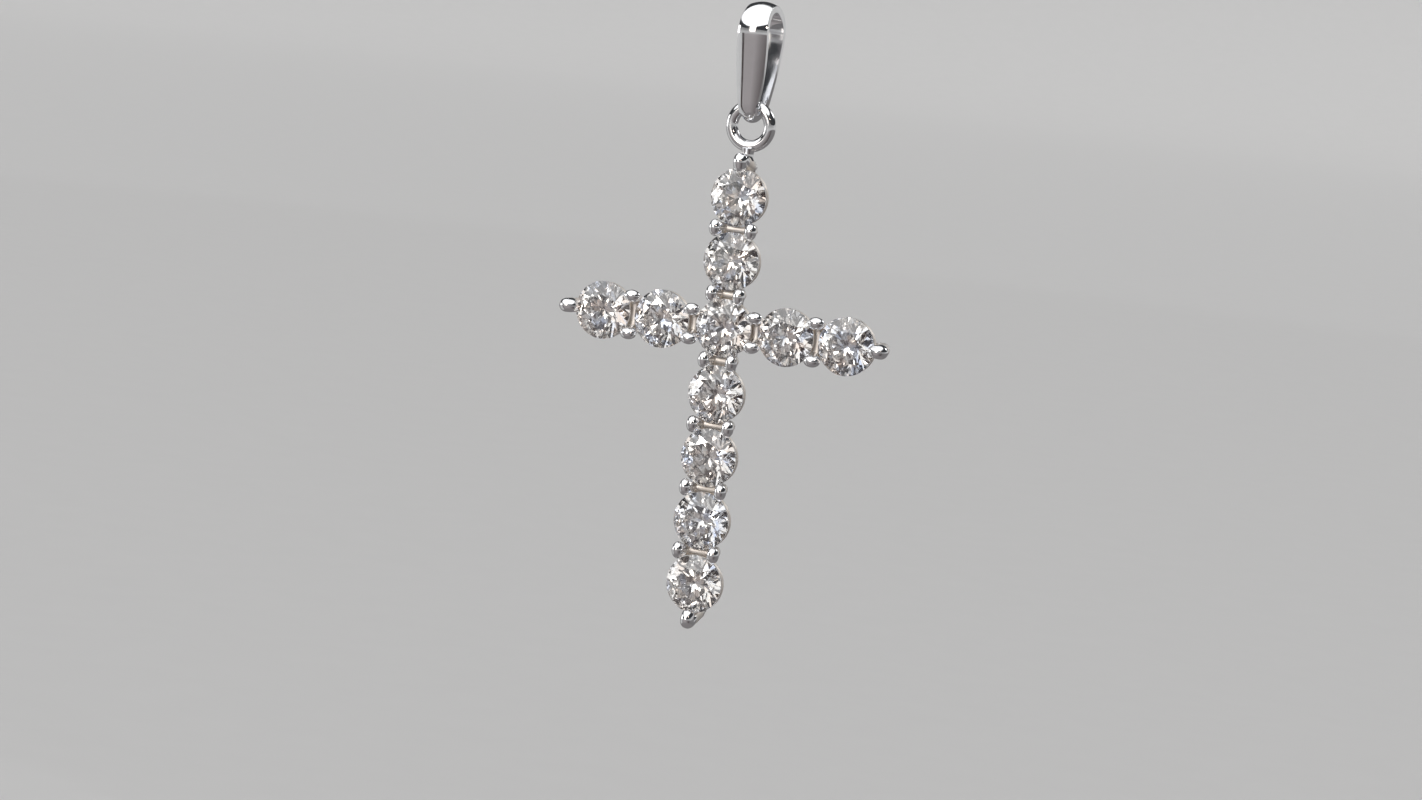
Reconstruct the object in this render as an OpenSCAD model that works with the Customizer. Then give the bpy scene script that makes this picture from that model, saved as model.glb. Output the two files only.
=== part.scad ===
// Cross pendant: a cross of round brilliants held in shared prongs, with a small ring
// soldered to its top claw. The ring hangs in the bottom bend of a folded, tapering bail.
// Millimetres. Z is up and the front faces -Y. The origin is where the chain lies: the
// middle of the bail's inside top.

/* [Stones] */
// Diameter of each brilliant across its girdle
stone_d = 2.9; // [2.4:0.1:3.5]
// Gap between the girdles of two neighbours
stone_gap = 0.28; // [0.22:0.02:0.4]
// Gap between the centre stone's girdle and those of its four neighbours
centre_gap = 0.42; // [0.34:0.02:0.5]
// Width of the table, corner to corner, as a share of the stone's diameter
table_share = 0.56; // [0.52:0.01:0.62]
// Height of the crown as a share of the stone's diameter
crown_share = 0.15; // [0.12:0.01:0.17]
// Thickness of the girdle as a share of the stone's diameter
girdle_share = 0.03; // [0.02:0.005:0.045]
// Depth of the pavilion as a share of the stone's diameter
pavilion_share = 0.43; // [0.4:0.01:0.45]
// Turn of each stone about its own axis, on from the stone before it
stone_turn = 11; // [0:1:22]
// Air left between a stone and the metal cut out for it
seat_clear = 0.05; // [0.03:0.01:0.08]

/* [Prongs] */
// Thickness of the wires that the shared prongs are made of
prong_wire = 0.56; // [0.46:0.02:0.6]
// Width of a shared prong's head
head_w = 0.62; // [0.56:0.02:0.7]
// Length of a shared prong's head, along the arm
head_l = 0.86; // [0.76:0.02:0.96]
// Height of the heads' middles in front of the girdles
head_rise = 0.17; // [0.12:0.01:0.22]
// How far a shared head reaches over the girdle
prong_grip = 0.03; // [0.01:0.01:0.08]
// How far the heads beside the centre stone reach over its girdle
centre_grip = 0.07; // [0.04:0.01:0.12]
// Angle by which the prongs draw together towards the back
prong_lean = 17; // [8:1:20]
// Thickness of the claw at the tip of each arm
claw_wire = 0.72; // [0.66:0.02:0.8]
// Thickness of the claw where it bends over the stone
claw_tip_wire = 0.6; // [0.5:0.02:0.64]
// How far each claw stands out past its stone
claw_reach = 0.8; // [0.7:0.01:0.9]
// How far each claw's tip reaches over its stone
claw_grip = 0.22; // [0.14:0.02:0.34]

/* [Gallery] */
// Depth of the upper rings below the girdles
seat_drop = 0.28; // [0.22:0.02:0.34]
// Height of the upper rings, which the stones sit on
seat_h = 0.28; // [0.2:0.02:0.34]
// Wall of the upper rings
seat_wall = 0.28; // [0.22:0.02:0.34]
// How far the upper rings stay inside the girdles
seat_inset = 0.06; // [0.04:0.01:0.08]
// Thickness of the bars between the prongs of a pair
bar_d = 0.56; // [0.5:0.02:0.62]
// Height of the lower rings
base_h = 0.4; // [0.3:0.02:0.5]
// Wall of the lower rings
base_wall = 0.36; // [0.28:0.02:0.42]
// How far the lower rings stay inside the girdles
base_inset = 0.45; // [0.35:0.05:0.6]
// Room between a stone's point and the back of its ring
culet_cover = 0.1; // [0.06:0.02:0.2]
// Width of the bars that join the lower rings
link_w = 0.8; // [0.6:0.05:1]
// Height of the bars that join the lower rings
link_h = 0.3; // [0.24:0.02:0.34]

/* [Ring] */
// Outside diameter of the soldered ring
ring_d = 2.6; // [2.5:0.05:3]
// Thickness of the ring's wire
ring_wire = 0.6; // [0.5:0.02:0.64]
// Air between the ring's wire and the bail that it hangs in
ring_play = 0.05; // [0.03:0.01:0.08]
// How far the girdles stand in front of the ring
ring_setback = 0.55; // [0.3:0.05:0.7]
// Thickness of the solder foot between the ring and the top claw
foot_d = 0.5; // [0.4:0.02:0.56]

/* [Bail] */
// Height of the bail
bail_h = 6; // [5:0.1:8]
// Thickness of the bail's sheet
bail_t = 0.5; // [0.4:0.02:0.6]
// Greatest width of the bail
bail_w = 1.56; // [1.3:0.02:1.8]
// Distance from the bail's top to its widest place
bail_wide_drop = 2.1; // [1.6:0.1:2.6]
// Width of the bail where the ring passes it
bail_neck_w = 0.98; // [0.9:0.02:1.04]
// Width of the rounded tip at the bottom of the bail
bail_tip_w = 0.86; // [0.76:0.02:0.88]
// Depth of the bail, front to back, across its top bend
bail_top_depth = 3; // [2.6:0.1:3.6]
// Depth of the bail, front to back, across its bottom bend
bail_bottom_depth = 2; // [1.9:0.05:2.3]

/* [Hidden] */
$fn = 64;

// Every stone: its name, and its column and row on the cross, from the centre stone
STONES = [
    ["top_outer_stone", 0, 2],
    ["top_inner_stone", 0, 1],
    ["centre_stone", 0, 0],
    ["left_inner_stone", -1, 0],
    ["left_outer_stone", -2, 0],
    ["right_inner_stone", 1, 0],
    ["right_outer_stone", 2, 0],
    ["lower_first_stone", 0, -1],
    ["lower_second_stone", 0, -2],
    ["lower_third_stone", 0, -3],
    ["lower_last_stone", 0, -4]
];
rows_up = max([for (s = STONES) s[2]]);
rows_down = -min([for (s = STONES) s[2]]);
columns_out = max([for (s = STONES) s[1]]);

// Every pair of prongs stands between two stones: their column and row, one after the other
PAIRS = concat(
    [for (row = [1 - rows_down : rows_up]) [[0, row - 1], [0, row]]],
    [for (column = [1 - columns_out : columns_out]) [[column - 1, 0], [column, 0]]]
);

// Every claw: the column and row of its stone, and the direction in which it stands out
TIPS = [
    [0, rows_up, 90],
    [0, -rows_down, -90],
    [-columns_out, 0, 180],
    [columns_out, 0, 0]
];

metal_colour = [0.84, 0.85, 0.87];
stone_colour = [0.9, 0.95, 1, 0.6];

// The stone's own sizes, seen with its table up and its girdle's middle at zero
stone_r = stone_d / 2;
pitch = stone_d + stone_gap;
centre_pitch = stone_d + centre_gap;
table_r = table_share * stone_r;
girdle_z = girdle_share * stone_d / 2;
table_z = girdle_z + crown_share * stone_d;
culet_z = -girdle_z - pavilion_share * stone_d;
star_share = 0.5;
lower_half_share = 0.77;

// The facet corners lie on a ring that the round girdle is then ground from, and each
// ring of corners is turned by one step from the next
corner_turn = 22.5;
corner_r = stone_r / cos(corner_turn / 2);
star_inner_r = table_r * cos(corner_turn);
star_r = star_inner_r + star_share * (corner_r - star_inner_r);
lower_r = corner_r * (1 - lower_half_share);
crown_slope = (table_z - girdle_z) / (corner_r - table_r);
pavilion_slope = (-girdle_z - culet_z) / corner_r;

function crown_height(r, turn) = girdle_z + (corner_r - r * cos(turn)) * crown_slope;
function pavilion_height(r, turn) = -girdle_z - (corner_r - r * cos(turn)) * pavilion_slope;
function ring_of(n, r, z, start) = [
    for (i = [0 : n - 1]) [r * cos(start + i * 360 / n), r * sin(start + i * 360 / n), z]
];

// The depths of the setting, measured from the girdles, with the front up
base_z = culet_z - culet_cover;
wire_end_z = base_z + prong_wire / 2;
bar_z = -seat_drop - seat_h / 2;
link_z = base_z + (base_h - link_h) / 2;
lean = tan(prong_lean);
head_half = (head_l - head_w) / 2;
claw_r = claw_wire / 2;
claw_out = stone_r + claw_reach - claw_r;
claw_tip_r = claw_tip_wire / 2;
claw_in = stone_r - claw_grip + claw_tip_r;
claw_rise = 0.1;
claw_bar_share = 0.8;

// Distance of a column or row from the centre stone
function along(index) = index == 0 ? 0 : sign(index) * (centre_pitch + (abs(index) - 1) * pitch);
function place(stone) = [along(stone[0]), along(stone[1]), 0];

// Half the distance between the prongs of a pair whose heads grip the girdles
function pair_half(grip, spacing) = sqrt(
    pow(stone_r - grip + head_w / 2, 2) - pow(spacing / 2 - head_half, 2)
);

// How far the cutting shapes run past the bail
margin = 1;

// The bail and the ring in it, in the pendant's own frame
bail_top = bail_t;
bail_bottom = bail_t - bail_h;
top_r = bail_top_depth / 2;
bottom_r = bail_bottom_depth / 2;
top_centre = bail_top - top_r;
bottom_centre = bail_bottom + bottom_r;
side_normal = -asin((top_r - bottom_r) / (top_centre - bottom_centre));
ring_mid_r = (ring_d - ring_wire) / 2;
ring_hole_r = ring_d / 2 - ring_wire;
pivot_z = bail_bottom + bail_t + ring_play + ring_wire / 2;
ring_z = pivot_z - ring_mid_r;
saddle_ease = 0.02;
saddle_share = 0.9;
wide_z = bail_top - bail_wide_drop;
taper = (bail_w - bail_neck_w) / 2;
flank_r = (pow(wide_z - pivot_z, 2) + taper * taper) / (2 * taper);
tip_r = bail_tip_w / 2;

// The cross hangs from the ring, whose lowest point is level with the top claw's end
cross_z = ring_z - ring_d / 2 - claw_reach - stone_r - along(rows_up);

// Puts a child that is drawn with its front up into the pendant's own frame
module cross_frame() {
    translate([0, -ring_setback, cross_z]) rotate([90, 0, 0]) children();
}

module at(column, row) {
    translate(place([column, row])) children();
}

// A straight wire with round ends, from the middle of one end to that of the other
module round_wire(r, from, to) {
    v = to - from;
    run = norm(v);
    translate(from) rotate([0, acos(v[2] / run), atan2(v[1], v[0])]) rotate_extrude()
        intersection() {
            union() {
                circle(r);
                translate([0, run]) circle(r);
                translate([-r, 0]) square([2 * r, run]);
            }
            translate([0, -r]) square([r, run + 2 * r]);
        }
}

module tube(outer_r, wall, z, h) {
    translate([0, 0, z]) difference() {
        cylinder(r = outer_r, h = h);
        translate([0, 0, -h]) cylinder(r = outer_r - wall, h = 3 * h);
    }
}

// A round brilliant: table, stars, kites and upper halves in front, lower halves and
// mains behind, with the corners ground to a round girdle
module brilliant() {
    points = concat(
        ring_of(8, table_r, table_z, 0),
        ring_of(8, star_r, crown_height(star_r, corner_turn), corner_turn),
        ring_of(16, corner_r, girdle_z, 0),
        ring_of(16, corner_r, -girdle_z, 0),
        ring_of(8, lower_r, pavilion_height(lower_r, corner_turn), corner_turn),
        [[0, 0, culet_z]]
    );
    star = 8;
    upper = 16;
    lower = 32;
    half = 48;
    culet = 56;
    table = [[for (i = [7 : -1 : 0]) i]];
    stars = [for (i = [0 : 7]) [i, (i + 1) % 8, star + i]];
    kites = [for (i = [0 : 7]) [i, star + i, upper + 2 * i, star + (i + 7) % 8]];
    upper_halves = [for (i = [0 : 7]) each [
        [star + i, upper + 2 * i + 1, upper + 2 * i],
        [star + i, upper + (2 * i + 2) % 16, upper + 2 * i + 1]
    ]];
    girdle = [for (i = [0 : 15]) [upper + i, upper + (i + 1) % 16, lower + (i + 1) % 16, lower + i]];
    lower_halves = [for (i = [0 : 7]) each [
        [half + i, lower + 2 * i, lower + 2 * i + 1],
        [half + i, lower + 2 * i + 1, lower + (2 * i + 2) % 16]
    ]];
    mains = [for (i = [0 : 7]) [culet, half + (i + 7) % 8, lower + 2 * i, half + i]];
    intersection() {
        polyhedron(points, concat(table, stars, kites, upper_halves, girdle, lower_halves, mains));
        translate([0, 0, 2 * culet_z]) cylinder(r = stone_r, h = 4 * stone_d);
    }
}

// The space that a stone takes up, with room round it, as the seat is cut
module seat_space() {
    crown_room = star_r * (1 - cos(corner_turn)) * crown_slope + seat_clear;
    culet_room = seat_clear / cos(atan(pavilion_slope));
    rotate_extrude() polygon([
        [0, table_z + crown_room],
        [table_r, table_z + crown_room],
        [stone_r + seat_clear, girdle_z + crown_room],
        [stone_r + seat_clear, -girdle_z - seat_clear],
        [0, culet_z - culet_room - seat_clear]
    ]);
}

// Two prongs side by side between two stones, with the bar that joins them, and the bar
// that joins the stones' lower rings
module prong_pair(half, spacing) {
    top = [0, half, head_rise];
    bottom = [0, half - (head_rise - wire_end_z) * lean, wire_end_z];
    bar_half = half - (head_rise - bar_z) * lean;
    for (side = [0, 1]) mirror([0, side, 0]) {
        round_wire(prong_wire / 2, bottom, top);
        round_wire(head_w / 2, top - [head_half, 0, 0], top + [head_half, 0, 0]);
    }
    translate([0, 0, bar_z]) rotate([90, 0, 0])
        cylinder(d = bar_d, h = 2 * bar_half, center = true);
    translate([-spacing / 2, -link_w / 2, link_z]) cube([spacing, link_w, link_h]);
}

// The claw at the tip of an arm: a wire from the back that bends over the stone's edge
module claw() {
    bend = [claw_out, 0, claw_rise];
    tip = [claw_in, 0, head_rise + claw_rise];
    foot_x = claw_out - (claw_rise - wire_end_z) * lean;
    foot_z = base_z + claw_r;
    bar_x = claw_out - (claw_rise - bar_z) * lean;
    round_wire(claw_r, [foot_x, 0, foot_z], bend);
    round_wire(claw_tip_r, bend, tip);
    translate([0, 0, bar_z]) rotate([0, 90, 0])
        cylinder(d = claw_bar_share * seat_h, h = bar_x);
    translate([0, -claw_tip_r, link_z]) cube([foot_x, claw_tip_wire, link_h]);
}

// The ring that hangs in the bail, and the solder foot that joins it to the top claw
module soldered_ring() {
    translate([0, 0, ring_z]) rotate([90, 0, 0])
        rotate_extrude() translate([ring_mid_r, 0]) circle(d = ring_wire);
    foot_top = ring_z - ring_mid_r;
    foot_length = ring_wire / 2 + claw_reach / 2;
    translate([0, 0, foot_top - foot_length]) cylinder(d = foot_d, h = foot_length);
}

module setting_metal() {
    cross_frame() {
        for (s = STONES) at(s[1], s[2]) {
            tube(stone_r - seat_inset, seat_wall, -seat_drop - seat_h, seat_h);
            tube(stone_r - base_inset, base_wall, base_z, base_h);
        }
        for (p = PAIRS) {
            spacing = norm(place(p[1]) - place(p[0]));
            grip = min(norm(p[0]), norm(p[1])) == 0 ? centre_grip : prong_grip;
            translate((place(p[0]) + place(p[1])) / 2) rotate(p[0][0] == p[1][0] ? 90 : 0)
                prong_pair(pair_half(grip, spacing), spacing);
        }
        for (t = TIPS) at(t[0], t[1]) rotate(t[2]) claw();
    }
    soldered_ring();
}

module setting() {
    bore_r = stone_r - base_inset - base_wall;
    color(metal_colour) difference() {
        setting_metal();
        cross_frame() for (s = STONES) at(s[1], s[2]) {
            seat_space();
            translate([0, 0, base_z - base_h]) cylinder(r = bore_r, h = 2 * base_h - base_z);
        }
    }
}

// The bail's outline from the side, less an inset: two bends joined by straight legs,
// whose lines lie a hair inside the tangents so that they cross the circles cleanly
module side_outline(inset) {
    hair = 0.003;
    big = top_r - inset;
    small = bottom_r - inset;
    across = cos(side_normal);
    down = sin(side_normal);
    translate([0, top_centre]) circle(big);
    translate([0, bottom_centre]) circle(small);
    polygon([
        [(big - hair) * across, top_centre + (big - hair) * down],
        [-(big - hair) * across, top_centre + (big - hair) * down],
        [-(small - hair) * across, bottom_centre + (small - hair) * down],
        [(small - hair) * across, bottom_centre + (small - hair) * down]
    ]);
}

// The bail's outline from the front: two long curved flanks over a round tip
module front_outline() {
    flank_x = flank_r - bail_w / 2;
    tip_z = bail_bottom + tip_r;
    intersection() {
        translate([flank_x, wide_z]) circle(flank_r, $fn = 360);
        translate([-flank_x, wide_z]) circle(flank_r, $fn = 360);
        translate([-bail_w, tip_z]) square([2 * bail_w, bail_h]);
    }
    translate([0, tip_z]) circle(tip_r);
}

// The space in which the ring's wire turns, about an axis that runs left to right
module ring_saddle() {
    hole = ring_hole_r - ring_play - saddle_ease;
    reach = saddle_share * hole;
    rotate([0, 90, 0]) rotate_extrude() difference() {
        translate([0, -reach]) square([ring_mid_r, 2 * reach]);
        translate([ring_mid_r, 0]) circle(hole);
    }
}

// A folded bail: domed outside, flat inside, and hollowed at the bottom for the ring
module bail() {
    color(metal_colour) difference() {
        intersection() {
            rotate_extrude() intersection() {
                side_outline(0);
                translate([0, bail_bottom - margin])
                    square([top_r + margin, bail_h + 2 * margin]);
            }
            rotate([90, 0, 0]) linear_extrude(bail_top_depth + 2 * margin, center = true)
                front_outline();
        }
        rotate([90, 0, 90]) linear_extrude(bail_w + 2 * margin, center = true)
            side_outline(bail_t);
        translate([0, 0, pivot_z]) ring_saddle();
    }
}

module stone(index) {
    s = STONES[index];
    color(stone_colour) cross_frame() at(s[1], s[2]) rotate(index * stone_turn) brilliant();
}

bail();
setting();
for (i = [0 : len(STONES) - 1]) stone(i);
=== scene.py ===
"""Cross pendant: cut stones, the shared-prong setting that holds them, a soldered ring and a
folded bail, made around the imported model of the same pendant."""

import itertools
import math

import bmesh
import bpy
from mathutils import Matrix, Vector


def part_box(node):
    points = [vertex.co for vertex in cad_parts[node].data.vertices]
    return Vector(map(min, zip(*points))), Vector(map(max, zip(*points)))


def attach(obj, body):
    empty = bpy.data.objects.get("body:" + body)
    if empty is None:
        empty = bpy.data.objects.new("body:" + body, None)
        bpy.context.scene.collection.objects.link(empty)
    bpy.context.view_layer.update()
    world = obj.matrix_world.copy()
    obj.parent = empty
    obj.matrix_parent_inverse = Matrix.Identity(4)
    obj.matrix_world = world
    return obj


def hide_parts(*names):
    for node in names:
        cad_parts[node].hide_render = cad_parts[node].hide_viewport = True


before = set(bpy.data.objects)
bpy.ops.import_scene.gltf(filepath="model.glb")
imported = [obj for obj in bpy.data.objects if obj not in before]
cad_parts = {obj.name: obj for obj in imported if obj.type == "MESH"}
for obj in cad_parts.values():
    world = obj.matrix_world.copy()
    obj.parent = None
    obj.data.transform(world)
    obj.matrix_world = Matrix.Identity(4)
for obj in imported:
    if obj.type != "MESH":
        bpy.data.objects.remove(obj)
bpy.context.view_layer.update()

bl_info = {
    "name": "Cross Pendant",
    "version": (1, 0, 0),
    "blender": (4, 5, 0),
    "location": "3D View > Sidebar > Pendant",
    "description": "Makes a cross pendant of round brilliants in shared prongs",
    "category": "Add Mesh",
}

MM = 0.001

# The photograph's width in pixels, and the camera sensor's in millimetres
PHOTO_WIDTH = 1422
SENSOR_WIDTH = 36

# The stones in the order in which each is turned on from the one before it
STONES = (
    "top_outer_stone",
    "top_inner_stone",
    "centre_stone",
    "left_inner_stone",
    "left_outer_stone",
    "right_inner_stone",
    "right_outer_stone",
    "lower_first_stone",
    "lower_second_stone",
    "lower_third_stone",
    "lower_last_stone",
)

# The stone at each tip of the cross, and the direction in which its claw stands out, in
# degrees from the right
TIPS = {
    "top_outer_stone": 90,
    "lower_last_stone": -90,
    "left_outer_stone": 180,
    "right_outer_stone": 0,
}

# Stones whose middles are closer than this many diameters are neighbours
NEIGHBOURS = 1.5

# How many kites a crown has, and how many sides or steps each round shape has
CROWN_FOLD = 8
GIRDLE_SIDES = 96
WIRE_SIDES = 24
RING_STEPS = 64
CLAW_STEPS = 12
EDGE_STEPS = 3
BEND_STEPS = 30
LEG_STEPS = 12
SECTION_STEPS = 16
FLOOR_STEPS = 96
RIM_STEPS = 10
CARD_STEPS = 32

# Corners closer than this are one corner, and edges that turn by more than this are sharp
MERGE = 1e-7
SHARP = math.radians(32)

RIGHT_ANGLE = math.radians(90)
X_AXIS, Y_AXIS, Z_AXIS = Vector((1, 0, 0)), Vector((0, 1, 0)), Vector((0, 0, 1))

# How high the rings of a wire's round end and of a prong's domed head stand, as angles
WIRE_DOME = [math.radians(rise) for rise in (21, 42, 62, 82)]
HEAD_DOME = [math.radians(rise) for rise in (14, 28, 42, 56, 70, 82)]

# The power that gives the bail's outside a parabola's section or an ellipse's
PARABOLA = 1
ELLIPSE = 0.5


def length(name, description, default):
    """A property that holds a length, given in millimetres."""
    return bpy.props.FloatProperty(
        name=name, description=description, default=default * MM, min=0, precision=5,
        subtype="DISTANCE", unit="LENGTH",
    )


def share(name, description, default):
    """A property that holds a share of another size."""
    return bpy.props.FloatProperty(
        name=name, description=description, default=default, min=0, max=1, subtype="FACTOR"
    )


def angle(name, description, default):
    """A property that holds an angle, given in degrees."""
    return bpy.props.FloatProperty(
        name=name, description=description, default=math.radians(default),
        subtype="ANGLE", unit="ROTATION",
    )


def colour(name, description, default):
    """A property that holds a colour."""
    return bpy.props.FloatVectorProperty(
        name=name, description=description, default=default, size=3, min=0, max=1,
        subtype="COLOR",
    )


def amount(name, description, default):
    """A property that holds a plain number."""
    return bpy.props.FloatProperty(name=name, description=description, default=default, min=0)


class PendantStones(bpy.types.PropertyGroup):
    """The cut of the stones"""

    table: share("Table", "Width of the table, as a share of the stone's diameter", 0.56)
    crown: share("Crown", "Height of the crown, as a share of the diameter", 0.15)
    girdle: share("Girdle", "Thickness of the girdle, as a share of the diameter", 0.03)
    pavilion: share("Pavilion", "Depth of the pavilion, as a share of the diameter", 0.43)
    star: share("Stars", "How far the star facets run towards the girdle", 0.5)
    lower_half: share("Lower halves", "How far the lower halves run towards the point", 0.77)
    turn: angle("Turn", "Turn of each stone on from the one before it", 11)
    clear: length("Seat clearance", "Air between a stone and its seat", 0.05)


class PendantSetting(bpy.types.PropertyGroup):
    """The metal that holds the stones"""

    prong_wire: length("Prong wire", "Thickness of the prongs", 0.56)
    head_w: length("Head width", "Width of a shared prong's head", 0.62)
    head_l: length("Head length", "Length of a shared prong's head, along the arm", 0.86)
    head_rise: length("Head rise", "Height of the heads' middles over the girdles", 0.3)
    prong_grip: length("Prong grip", "How far a head reaches over the girdle", 0.02)
    centre_grip: length("Centre grip", "How far one beside the centre stone does", 0.06)
    neck: share("Neck", "Where a head's neck is behind its middle, as a share of its width", 0.7)
    shoulder: share(
        "Shoulder", "Where a head's shoulder is behind its middle, as a share of its width", 0.3
    )
    shoulder_l: share("Shoulder length", "Length of a shoulder, as a share of its head's", 0.86)
    prong_lean: angle("Prong lean", "How the prongs draw together towards the back", 17)
    claw_wire: length("Claw wire", "Thickness of the claws", 0.72)
    claw_tip: length("Claw tip", "Thickness of a claw's tip", 0.66)
    claw_foot: length("Claw foot", "How far a claw's foot stands out past its stone", 0.07)
    claw_reach: length("Claw reach", "How far a claw's bend stands out past its stone", 0.8)
    claw_rise: length("Claw rise", "Height at which a claw bends, over the girdle", 0.3)
    claw_grip: length("Claw grip", "How far a claw's tip reaches over its stone", 0.2)
    claw_tip_rise: length("Claw tip rise", "Height of a claw's tip over the girdle", 0.32)
    claw_straight: share("Claw straight", "How much of the way to its bend is straight", 0.78)
    claw_swing: length("Claw swing", "How far out past the bend its curve is drawn", 0.17)
    claw_lift: length("Claw lift", "How far over the bend its curve is drawn", 0.22)
    claw_bar: length("Claw bar", "Thickness of the bar from a claw to its upper ring", 0.224)
    seat_drop: length("Seat depth", "Depth of the upper rings below the girdles", 0.28)
    seat_h: length("Seat height", "Height of the upper rings", 0.28)
    seat_wall: length("Seat wall", "Wall of the upper rings", 0.28)
    seat_inset: length("Seat inset", "How far the upper rings stay inside the girdles", 0.06)
    bar_d: length("Bar", "Thickness of the bars between the prongs of a pair", 0.56)
    bar_waist: share("Bar waist", "Thickness of a bar's middle, as a share of its ends'", 0.88)
    base_h: length("Base height", "Height of the lower rings", 0.4)
    base_wall: length("Base wall", "Wall of the lower rings", 0.36)
    base_inset: length("Base inset", "How far the lower rings stay inside the girdles", 0.45)
    culet_cover: length("Culet cover", "Room between a stone's point and its ring's back", 0.1)
    link_w: length("Link width", "Width of the bars that join the lower rings", 0.8)
    link_h: length("Link height", "Height of the bars that join the lower rings", 0.3)
    edge: length("Edge", "Rounding of the metal's edges", 0.04)


class PendantRing(bpy.types.PropertyGroup):
    """The ring that is soldered to the top claw"""

    diameter: length("Diameter", "Outside diameter of the ring", 2.6)
    wire: length("Wire", "Thickness of the ring's wire", 0.6)
    play: length("Play", "Air between the ring's wire and the bail", 0.05)
    foot: length("Foot", "Thickness of the solder foot at its waist", 0.6)
    foot_flare: length("Foot flare", "Thickness of the solder foot at its ends", 0.72)
    foot_waist: share("Foot waist", "Share of the foot's length that each end flares over", 0.3)
    foot_start: share("Foot start", "Depth of the foot's top in the wire, in its radii", 0.35)


class PendantBail(bpy.types.PropertyGroup):
    """The folded bail"""

    sheet: length("Sheet", "Thickness of the bail at its middle", 0.5)
    width: length("Width", "Greatest width of the bail", 1.56)
    wide_drop: length("Wide drop", "Distance from the top to the widest place", 2.1)
    neck: length("Neck", "Width where the ring passes", 0.98)
    tip: length("Tip", "Width of the rounded tip at the bottom", 0.86)
    top_depth: length("Top depth", "Depth across the top bend", 3)
    bottom_depth: length("Bottom depth", "Depth across the bottom bend", 2)
    thin_edge: length("Thin edge", "Thickness of the bail's edge at the bottom", 0.1)
    hollow: share("Hollow", "Most that the ring's hollow takes of the edge's thickness", 0.5)
    edge: length("Edge", "Rounding of the bail's edges", 0.035)


class PendantFinish(bpy.types.PropertyGroup):
    """Colours and finish"""

    metal: colour("Metal", "Polished white metal", (0.86, 0.865, 0.88))
    # This colour is partly painted light: the satin metal behind the girdles is tinted warm and
    # lighter than the polished metal, a painted warm reflection
    gallery_sheen: colour("Gallery", "Satin metal behind the girdles", (1.0, 0.93, 0.85))
    polish: share("Polish", "Least roughness of the polished metal", 0.05)
    unpolished: share("Unpolished", "Roughness added where the polish is uneven", 0.12)
    dulled: share("Dulled", "Brightness of the metal where its polish is uneven", 0.93)
    satin: share("Satin", "Roughness added where no polishing brush reaches", 0.42)
    mottle: share("Mottle", "Least share of the gallery's tone in the satin", 0.5)
    # The satin, and the painted warm reflection that goes with it, lie between these depths
    satin_start: length("Satin start", "How far behind the stones' fronts satin starts", 0.4)
    satin_full: length("Satin full", "How far behind the stones' fronts it is full", 0.65)
    satin_fade: length("Satin fade", "How far before the stones' points it starts to fade", 0.6)
    wave: amount("Wave", "Height of the uneven polish, in heights of the scratches", 2)
    stone: colour("Stone", "Clear stone", (0.94, 0.925, 0.9))
    # The cool and warm fire are painted light: tints in the stones' colour that stand in for the
    # coloured flashes of their dispersion
    cool: colour("Cool fire", "Cool tint in the stones", (0.6, 0.72, 1.0))
    warm: colour("Warm fire", "Warm tint in the stones", (1.0, 0.82, 0.7))
    index: amount("Refraction", "Refractive index of the stones", 2.417)
    ground: share("Ground", "Least roughness of the ground girdles", 0.25)
    grain: share("Grain", "Roughness added by the girdles' grain", 0.3)
    grain_tone: share("Grain tone", "Brightness of the girdles' darkest grain", 0.8)


class PendantStage(bpy.types.PropertyGroup):
    """The camera, the floor and the lights"""

    azimuth: angle("Azimuth", "How far the camera stands to the right of the front", 20.9)
    elevation: angle("Elevation", "How far the camera stands above the pendant", 6.256)
    roll: angle("Roll", "Turn of the picture", 6.615)
    distance: length("Distance", "From the camera to the point that it looks at", 221.35)
    focal: amount("Focal length", "In pixels of the photograph's width", 4466)
    aim: bpy.props.FloatVectorProperty(
        name="Aim", description="The point that the camera looks at",
        default=(-0.233 * MM, -0.516 * MM, -19.339 * MM), precision=6,
        subtype="TRANSLATION", unit="LENGTH",
    )
    floor_drop: length("Floor", "Depth of the floor below the bail's inside top", 50)
    floor_r: length("Floor radius", "Radius of the flat part of the floor", 1150)
    rim_r: length("Rim", "Radius of the curve that the floor's rim rises on", 350)
    rim_rise: angle("Rim rise", "How steep the rim is at its top", 75)
    floor: colour("Floor colour", "Pale floor", (0.64, 0.635, 0.63))
    fibre: share("Fibre", "Brightness of the floor's darkest fibres", 0.97)
    sky: colour("Sky", "Faint light from all round", (0.9, 0.93, 1.0))
    sky_strength: amount("Sky strength", "Strength of the light from all round", 0.05)
    sun: amount("Sun", "Strength of the soft light on the floor", 2.55)
    sun_spread: angle("Sun spread", "How wide the soft light looks from the floor", 105)
    sun_front: angle("Sun front", "How far the soft light leans to the front", 18)
    sun_left: angle("Sun left", "How far the soft light leans to the left", 12)


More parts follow.
